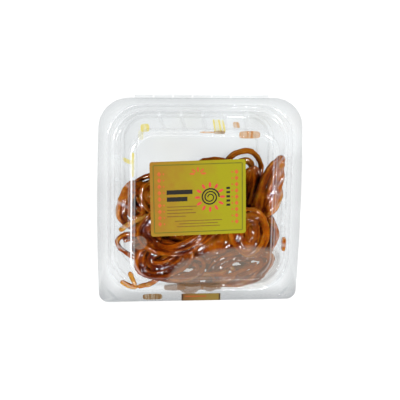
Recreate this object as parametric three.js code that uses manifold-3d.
// Clear hinged take-away box, shut on a heap of jalebi: fried batter coils soaked in dark sugar syrup.
// Millimetres. The box lies on its base at z = 0, its hinge is at the back (+Y) and its lid faces +Z.
// The lid swings on the living hinge; a paper label and a small seal sticker ride on it.

import * as THREE from "three";
import { mergeVertices } from "three/addons/utils/BufferGeometryUtils.js";
import Module from "manifold-3d";

const wasm = await Module();
wasm.setup();
const MERGE_DISTANCE = 1e-3;

// ---- driving dimensions ----

const WALL = 0.8;
const GAP = 0.3;
const PARTING = 37;

const FLANGE = {
  halfX: 101,
  front: -104.7,
  back: 104,
  frontRadius: 10,
  backRadius: 30,
  bow: 1.5,
};
const MOUTH_SHIFT = 1.8;
const FLUTES_PER_SIDE = 5;

const HINGE = { y: 106, radius: 1.2, knuckles: 7, pitch: 19, length: 18 };
const LIFT_TAB = { x: -86.5, width: 18, reach: 2.5, overlap: 5, radius: 3 };
const LOCK_RIB = { x: 87.5, y: -96.5, length: 12, radius: 1.5, rise: 0.35 };

const LABEL = { x: -5.7, y: 11.6, width: 93, height: 74, radius: 2.5, turn: 1.8, thickness: 0.3 };
const SEAL = { x: 2.4, y: -99.2, width: 40, height: 10, radius: 1, thickness: 0.3 };

const STRAND_RADIUS = 2.8;
const STRAND_SIDES = 5;
const TURN_SPACING = 6.2;
const SEGMENT_LENGTH = 14;
const CRUMB_RADIUS = 2.5;
const CLEARANCE = 0.9;

const CORE = { x: 8, y: -34, z: 25, halfX: 54, halfY: 42, halfZ: 20 };

// ---- sections of the box: inside faces of the tub and the lid, from the middle outwards ----

const TUB_LEVELS = [
  { z: 2.0, halfX: 59, halfY: 61.5, radius: 14, grow: 0 },
  { z: WALL, halfX: 62, halfY: 64.5, radius: 16, grow: 0 },
  { z: WALL, halfX: 74, halfY: 77, radius: 22 },
  { z: 5, halfX: 78, halfY: 81, radius: 26 },
  { z: 27.5, halfX: 84.5, halfY: 87.5, radius: 31 },
  { z: 28, halfX: 89, halfY: 92, radius: 34 },
  { z: PARTING - GAP / 2, halfX: 91.7, halfY: 94.7, radius: 35 },
];
const LID_LEVELS = [
  { z: 70.2, halfX: 65, halfY: 69, radius: 19, grow: 0 },
  { z: 71.2, halfX: 67.5, halfY: 71.5, radius: 21, grow: 0 },
  { z: 71.2, halfX: 70.2, halfY: 74.2, radius: 23 },
  { z: 69, halfX: 72.7, halfY: 76.7, radius: 24, groove: 0.5 },
  { z: 46.5, halfX: 83, halfY: 87, radius: 30, groove: 2 },
  { z: 46, halfX: 88, halfY: 91.2, radius: 33.5 },
  { z: PARTING + GAP / 2, halfX: 91.7, halfY: 94.7, radius: 35 },
];
const TUB_STEPS = { side: 6, corner: 4 };
const LID_STEPS = { side: 20, corner: 4 };

// ---- the coils of the heap, lowest first ----
// at: centre. reach: long and short radius of the outer turn. yaw: the long axis from +X.
// roll: tilt about the long axis. pinch: 0 for an oval, more for a leaf with pointed ends.

const COILS = [
  { at: [-40, -50, 7], reach: [26, 22], yaw: 20, roll: 0, turns: 2, start: 0 },
  { at: [4, -57, 7.4], reach: [25, 21], yaw: -15, roll: 0, turns: 1.9, start: 90 },
  { at: [50, -50, 6.9], reach: [26, 22], yaw: 60, roll: 0, turns: 2, start: 200 },
  { at: [-52, -9, 7.2], reach: [23, 21], yaw: 0, roll: 0, turns: 1.7, start: 120 },
  { at: [6, -12, 6.8], reach: [27, 22], yaw: 35, roll: 0, turns: 2, start: 40 },
  { at: [47, 26, 8], reach: [21.5, 21.5], yaw: 90, roll: 0, turns: 1.6, start: -150, spacing: 8.5 },
  { at: [15, 18.5, 9.5], reach: [27, 20], yaw: 5, roll: 4, turns: 1.5, start: -30 },
  { at: [-20, -69, 19], reach: [28, 14], yaw: 5, roll: 35, turns: 1.1, start: 20 },
  { at: [31, -70, 20], reach: [28, 14], yaw: -5, roll: 32, turns: 1.1, start: 60 },
  { at: [-45, -60, 24], reach: [23, 16], yaw: -30, roll: 15, turns: 1.3, start: 150 },
  { at: [18, 4, 20], reach: [31, 17], yaw: 10, roll: -30, turns: 1.4, start: 0 },
  { at: [65, -36, 24], reach: [26, 17], yaw: 84, roll: -35, turns: 1.5, start: 90 },
  { at: [-42, 5, 25], reach: [31, 20], yaw: 10, roll: -14, turns: 1.8, start: 10 },
  { at: [52, 4, 18], reach: [24, 15], yaw: 80, roll: -20, turns: 1.3, start: 60 },
  { at: [69.5, 10.3, 36], reach: [34, 15.5], yaw: 71, roll: -22, turns: 1.3, start: 175, pinch: 0.25 },
  { at: [-62, -6, 35], reach: [27, 24.5], yaw: 92, roll: 14, turns: 2.5, start: 165 },
  { at: [-63, -46.5, 37], reach: [20, 14.5], yaw: -10, roll: -8, turns: 1.1, start: 20 },
  { at: [4, -72, 37], reach: [34, 16], yaw: 2, roll: -10, turns: 1.5, start: 200 },
  { at: [-20, -70, 38], reach: [30, 16], yaw: 6, roll: -8, turns: 1.4, start: 60 },
  { at: [40, -70, 38], reach: [38, 20], yaw: 18, roll: -6, turns: 2, start: 190 },
  { at: [62.5, -34.5, 31], reach: [30, 20], yaw: 95, roll: -20, turns: 1.8, start: 20 },
  { at: [-35, -57, 45], reach: [30, 22], yaw: 12, roll: 12, turns: 2.4, start: 110 },
  { at: [-26, 2, 39], reach: [34, 23], yaw: -10, roll: -14, turns: 2, start: 70 },
  { at: [16, -4, 42], reach: [30, 23], yaw: 40, roll: -10, turns: 2, start: 250 },
  { at: [20, -50, 33], reach: [30, 19], yaw: -12, roll: 6, turns: 1.6, start: 90 },
  { at: [48, -30, 47], reach: [27, 21], yaw: 90, roll: -8, turns: 2.3, start: 200 },
  { at: [-18, -21.3, 51], reach: [46, 28], yaw: 22, roll: 0, turns: 2.4, start: 100 },
];
const TILT_WAVE = 1.2;
const ROUNDNESS_WAVE = 0.05;
const TANGENT_STEP = 1e-3;

// Broken strands that stick out of the heap by the front wall, each from its first point to its last.
const BROKEN_STRANDS = [
  [[-37, -78, 38], [-50, -86, 38.5], [-62.5, -88.6, 38]],
  [[-62, -88.8, 39], [-71, -87, 38.5], [-79.5, -81.5, 39]],
  [[-63.5, -86, 40], [-67, -80, 42], [-70.5, -71, 43]],
  [[16, -82, 39], [24, -86, 38.5], [31, -89, 38]],
  [[-80, -30, 38], [-62, -16.5, 47], [-40, -9, 49]],
];
const LOOSE_PIECE = { from: [85.8, -40, 31.2], to: [85.2, -54, 31.2] };

// ---- solids ----

function toSolid(geometry) {
  geometry.deleteAttribute("normal");
  geometry.deleteAttribute("uv");
  const merged = mergeVertices(geometry, MERGE_DISTANCE);
  return new wasm.Manifold(
    new wasm.Mesh({
      numProp: 3,
      vertProperties: merged.attributes.position.array,
      triVerts: new Uint32Array(merged.index.array),
    }),
  );
}

function toGeometry(solid) {
  const mesh = solid.getMesh();
  const geometry = new THREE.BufferGeometry();
  geometry.setAttribute("position", new THREE.BufferAttribute(mesh.vertProperties, mesh.numProp));
  geometry.setIndex(new THREE.BufferAttribute(mesh.triVerts, 1));
  geometry.computeVertexNormals();
  return geometry;
}

function joined(solids) {
  return solids.reduce((whole, next) => whole.add(next));
}

// The outermost skin of a fused solid: sealed hollows are filled and loose scraps dropped.
function largestBody(solid) {
  return solid.decompose().reduce((best, next) => (next.volume() > best.volume() ? next : best));
}

// ---- the box ----

// One closed run of points round a rounded rectangle, anticlockwise seen from above.
// groove cuts waves into the straight sides, and bow swells the left and right ones.
function ring(level, steps) {
  const { z, halfX, front, back, frontRadius, backRadius, bow = 0, groove = 0 } = level;
  const corners = [
    { x: halfX - frontRadius, y: front + frontRadius, radius: frontRadius },
    { x: halfX - backRadius, y: back - backRadius, radius: backRadius },
    { x: backRadius - halfX, y: back - backRadius, radius: backRadius },
    { x: frontRadius - halfX, y: front + frontRadius, radius: frontRadius },
  ];
  const points = [];
  corners.forEach((corner, i) => {
    const before = corners[(i + 3) % 4];
    const facing = ((i - 1) * Math.PI) / 2;
    const outX = Math.cos(facing);
    const outY = Math.sin(facing);
    for (let s = 0; s < steps.side; s++) {
      const t = s / steps.side;
      const swell = bow * Math.abs(outX) * 4 * t * (1 - t);
      const dip = groove * (0.5 - 0.5 * Math.cos(2 * Math.PI * FLUTES_PER_SIDE * t));
      const x = THREE.MathUtils.lerp(before.x + outX * before.radius, corner.x + outX * corner.radius, t);
      const y = THREE.MathUtils.lerp(before.y + outY * before.radius, corner.y + outY * corner.radius, t);
      points.push([x + outX * (swell - dip), y + outY * (swell - dip), z]);
    }
    for (let c = 0; c < steps.corner; c++) {
      const angle = facing + (c / steps.corner) * (Math.PI / 2);
      points.push([
        corner.x + corner.radius * Math.cos(angle),
        corner.y + corner.radius * Math.sin(angle),
        z,
      ]);
    }
  });
  return points;
}

// A level's section, grown outwards and moved up by the wall where the outside face is wanted.
function section(level, grow = 0, rise = 0) {
  const out = level.grow ?? grow;
  return {
    z: level.z + rise,
    halfX: level.halfX + out,
    front: MOUTH_SHIFT - level.halfY - out,
    back: MOUTH_SHIFT + level.halfY + out,
    frontRadius: level.radius + out,
    backRadius: level.radius + out,
    groove: level.groove,
  };
}

// A closed skin through rings that run from a centre out and back to a second centre.
function loft(rings) {
  const count = rings[0].length;
  const positions = rings.flat(2);
  const middle = [0, MOUTH_SHIFT];
  const first = rings.length * count;
  positions.push(...middle, rings[0][0][2], ...middle, rings.at(-1)[0][2]);
  const index = [];
  for (let j = 0; j < count; j++) {
    const k = (j + 1) % count;
    index.push(first, j, k);
    for (let r = 0; r < rings.length - 1; r++) {
      const inner = r * count;
      const outer = inner + count;
      index.push(inner + j, outer + j, outer + k, inner + j, outer + k, inner + k);
    }
    const last = first - count;
    index.push(first + 1, last + k, last + j);
  }
  const geometry = new THREE.BufferGeometry();
  geometry.setAttribute("position", new THREE.Float32BufferAttribute(positions, 3));
  geometry.setIndex(index);
  return geometry;
}

// A thin plate with rounded corners, its underside at z.
function plate({ x, y, width, height, radius, thickness, turn = 0 }, z) {
  const outline = new THREE.Shape();
  const right = width / 2 - radius;
  const top = height / 2 - radius;
  outline.absarc(right, -top, radius, -Math.PI / 2, 0);
  outline.absarc(right, top, radius, 0, Math.PI / 2);
  outline.absarc(-right, top, radius, Math.PI / 2, Math.PI);
  outline.absarc(-right, -top, radius, Math.PI, 1.5 * Math.PI);
  const settings = { depth: thickness, bevelEnabled: false, curveSegments: 3 };
  return new THREE.ExtrudeGeometry(outline, settings)
    .rotateZ(THREE.MathUtils.degToRad(turn))
    .translate(x, y, z);
}

// Every other hinge knuckle, with the web that ties it to its flange.
function knuckles(firstIndex, webBottom) {
  const solids = [];
  for (let i = firstIndex; i < HINGE.knuckles; i += 2) {
    const x = (i - (HINGE.knuckles - 1) / 2) * HINGE.pitch;
    const bead = new THREE.CylinderGeometry(HINGE.radius, HINGE.radius, HINGE.length, 10);
    solids.push(toSolid(bead.rotateZ(Math.PI / 2).translate(x, HINGE.y, PARTING)));
    const webDepth = HINGE.y - FLANGE.back + WALL;
    const web = new THREE.BoxGeometry(HINGE.length, webDepth, WALL);
    solids.push(toSolid(web.translate(x, HINGE.y - webDepth / 2, webBottom + WALL / 2)));
  }
  return solids;
}

function makeTub() {
  const flangeTop = PARTING - GAP / 2;
  const rings = [
    ...TUB_LEVELS.map((level) => ring(section(level), TUB_STEPS)),
    ring({ ...FLANGE, z: flangeTop }, TUB_STEPS),
    ring({ ...FLANGE, z: flangeTop - WALL }, TUB_STEPS),
    ...TUB_LEVELS.toReversed().map((level) => ring(section(level, WALL, -WALL), TUB_STEPS)),
  ];
  return joined([toSolid(loft(rings)), ...knuckles(0, flangeTop - WALL)]);
}

function makeLid() {
  const flangeBottom = PARTING + GAP / 2;
  const flangeTop = flangeBottom + WALL;
  const rings = [
    ...LID_LEVELS.map((level) => ring(section(level, WALL, WALL), LID_STEPS)),
    ring({ ...FLANGE, z: flangeTop }, LID_STEPS),
    ring({ ...FLANGE, z: flangeBottom }, LID_STEPS),
    ...LID_LEVELS.toReversed().map((level) => ring(section(level), LID_STEPS)),
  ];
  const tab = plate(
    {
      x: LIFT_TAB.x,
      y: FLANGE.front - LIFT_TAB.reach + (LIFT_TAB.reach + LIFT_TAB.overlap) / 2,
      width: LIFT_TAB.width,
      height: LIFT_TAB.reach + LIFT_TAB.overlap,
      radius: LIFT_TAB.radius,
      thickness: WALL,
    },
    flangeBottom,
  );
  const ribs = [-1, 1].map((side) =>
    new THREE.CapsuleGeometry(LOCK_RIB.radius, LOCK_RIB.length, 2, 8)
      .rotateZ((side * Math.PI) / 4)
      .rotateZ(Math.PI / 2)
      .scale(1, 1, 0.7)
      .translate(side * LOCK_RIB.x, LOCK_RIB.y, flangeTop + LOCK_RIB.rise),
  );
  return joined([toSolid(loft(rings)), toSolid(tab), ...ribs.map(toSolid), ...knuckles(1, flangeBottom)]);
}

// ---- the jalebi ----

// The inside of the shut box at height z, as the levels' sizes in between.
const ROOM_LEVELS = [...TUB_LEVELS.slice(2), ...LID_LEVELS.slice(2).toReversed()];
const FLOOR = TUB_LEVELS[0].z;
const CEILING = LID_LEVELS[0].z;

function roomAt(z) {
  const above = Math.max(1, ROOM_LEVELS.findIndex((level) => level.z >= z));
  const low = ROOM_LEVELS[above - 1];
  const high = ROOM_LEVELS[above];
  const t = THREE.MathUtils.clamp((z - low.z) / (high.z - low.z || 1), 0, 1);
  const between = (key) => THREE.MathUtils.lerp(low[key] ?? 0, high[key] ?? 0, t);
  const groove = between("groove");
  return {
    halfX: between("halfX") - groove,
    halfY: between("halfY") - groove,
    radius: between("radius") - groove,
  };
}

// Moves a point of a strand inside the box's walls, floor and lid, at the tightest height it spans.
function keepInside(point, radius) {
  const margin = radius + CLEARANCE;
  point.z = THREE.MathUtils.clamp(point.z, FLOOR + margin, CEILING - margin);
  const rooms = [-radius, 0, radius].map((offset) => roomAt(point.z + offset));
  const room = rooms.reduce((tightest, next) => (next.halfX < tightest.halfX ? next : tightest));
  const straightX = room.halfX - room.radius;
  const straightY = room.halfY - room.radius;
  const nearX = THREE.MathUtils.clamp(point.x, -straightX, straightX);
  const nearY = THREE.MathUtils.clamp(point.y - MOUTH_SHIFT, -straightY, straightY) + MOUTH_SHIFT;
  const offX = point.x - nearX;
  const offY = point.y - nearY;
  const excess = Math.hypot(offX, offY) / (room.radius - margin);
  if (excess > 1) {
    point.x = nearX + offX / excess;
    point.y = nearY + offY / excess;
  }
  return point;
}

// Part of a flat spiral that is tilted, waved a little out of its plane and kept inside the box.
class CoilCurve extends THREE.Curve {
  constructor(coil, from, to) {
    super();
    this.coil = coil;
    this.from = from;
    this.to = to;
    const { degToRad } = THREE.MathUtils;
    this.turn = new THREE.Quaternion().setFromEuler(
      new THREE.Euler(degToRad(coil.roll), 0, degToRad(coil.yaw), "ZYX"),
    );
    this.flatNormal = new THREE.Vector3(0, 0, 1).applyQuaternion(this.turn);
  }

  pointAfter(turns, target = new THREE.Vector3()) {
    const { at, reach, start, spacing = TURN_SPACING, pinch = 0 } = this.coil;
    const angle = THREE.MathUtils.degToRad(start) + 2 * Math.PI * turns;
    const shrink = spacing * turns;
    const swell = 1 + ROUNDNESS_WAVE * Math.sin(3 * angle + at[0]);
    const narrow = Math.abs(Math.sin(angle)) ** pinch;
    target.set(
      (reach[0] - shrink) * swell * Math.cos(angle),
      (reach[1] - shrink) * swell * narrow * Math.sin(angle),
      TILT_WAVE * Math.sin(2 * angle + at[1]),
    );
    target.applyQuaternion(this.turn);
    target.add(new THREE.Vector3(...at));
    return keepInside(target, STRAND_RADIUS);
  }

  getPoint(t, target) {
    return this.pointAfter(THREE.MathUtils.lerp(this.from, this.to, t), target);
  }

  // The same at the end of one part as at the start of the next, so that their end faces meet.
  getTangent(t, target = new THREE.Vector3()) {
    const turns = THREE.MathUtils.lerp(this.from, this.to, t);
    const ahead = this.pointAfter(turns + TANGENT_STEP);
    return target.subVectors(ahead, this.pointAfter(turns - TANGENT_STEP)).normalize();
  }

  computeFrenetFrames(segments) {
    const frames = { tangents: [], normals: [], binormals: [] };
    for (let i = 0; i <= segments; i++) {
      const tangent = this.getTangentAt(i / segments);
      const binormal = this.flatNormal.clone().addScaledVector(tangent, -this.flatNormal.dot(tangent));
      binormal.normalize();
      frames.tangents.push(tangent);
      frames.binormals.push(binormal);
      frames.normals.push(new THREE.Vector3().crossVectors(binormal, tangent));
    }
    return frames;
  }
}

function tube(path, radius) {
  const shape = new THREE.Shape();
  for (let i = 0; i < STRAND_SIDES; i++) {
    const angle = (2 * Math.PI * i) / STRAND_SIDES;
    const corner = [radius * Math.cos(angle), radius * Math.sin(angle)];
    if (i) shape.lineTo(...corner);
    else shape.moveTo(...corner);
  }
  const steps = Math.max(1, Math.round(path.getLength() / SEGMENT_LENGTH));
  return new THREE.ExtrudeGeometry(shape, { steps, extrudePath: path });
}

// A coil as tubes of at most half a turn, so that none of them crosses itself.
function coilSolids(coil) {
  const halves = Math.ceil(coil.turns * 2);
  return Array.from({ length: halves }, (_, i) => {
    const to = Math.min(coil.turns, (i + 1) / 2);
    return toSolid(tube(new CoilCurve(coil, i / 2, to), STRAND_RADIUS));
  });
}

function strandPath(points) {
  return new THREE.CatmullRomCurve3(points.map((p) => keepInside(new THREE.Vector3(...p), CRUMB_RADIUS)));
}

// The packed middle of the heap, under the coils that show.
function makeCore() {
  const lump = new THREE.SphereGeometry(1, 14, 8);
  const point = new THREE.Vector3();
  const position = lump.attributes.position;
  for (let i = 0; i < position.count; i++) {
    point.fromBufferAttribute(position, i);
    const uneven = 1 + 0.06 * Math.sin(5 * point.x + 3 * point.y) * Math.cos(4 * point.z);
    position.setXYZ(
      i,
      CORE.x + CORE.halfX * uneven * point.x,
      CORE.y + CORE.halfY * uneven * point.y,
      CORE.z + CORE.halfZ * uneven * point.z,
    );
  }
  return toSolid(lump);
}

function makeHeap() {
  const strands = COILS.flatMap(coilSolids);
  const broken = BROKEN_STRANDS.map((points) => toSolid(tube(strandPath(points), CRUMB_RADIUS)));
  const fused = largestBody(joined([makeCore(), ...strands, ...broken]));
  return largestBody(toSolid(toGeometry(fused)));
}

function makeLoosePiece() {
  return toSolid(tube(strandPath([LOOSE_PIECE.from, LOOSE_PIECE.to]), CRUMB_RADIUS));
}

// ---- the object ----

const clearPlastic = new THREE.MeshStandardMaterial({
  color: 0xe9edef,
  roughness: 0.08,
  metalness: 0,
  transparent: true,
  opacity: 0.3,
});
const syrupBatter = new THREE.MeshStandardMaterial({ color: 0xa35a18, roughness: 0.2, metalness: 0 });
const labelPaper = new THREE.MeshStandardMaterial({ color: 0xd0ac28, roughness: 0.45, metalness: 0 });
const sealPaper = new THREE.MeshStandardMaterial({ color: 0xd8a552, roughness: 0.45, metalness: 0 });

const box = new THREE.Group();

function addPiece(name, geometry, material) {
  const mesh = new THREE.Mesh(geometry, material);
  mesh.name = name;
  box.add(mesh);
}

addPiece("tub", toGeometry(makeTub()), clearPlastic);
addPiece("lid", toGeometry(makeLid()), clearPlastic);
addPiece("label", plate(LABEL, LID_LEVELS[0].z + WALL + GAP), labelPaper);
addPiece("seal_sticker", plate(SEAL, PARTING + GAP / 2 + WALL + GAP), sealPaper);
addPiece("jalebi_heap", toGeometry(makeHeap()), syrupBatter);
addPiece("jalebi_loose_piece", toGeometry(makeLoosePiece()), syrupBatter);

export default box;
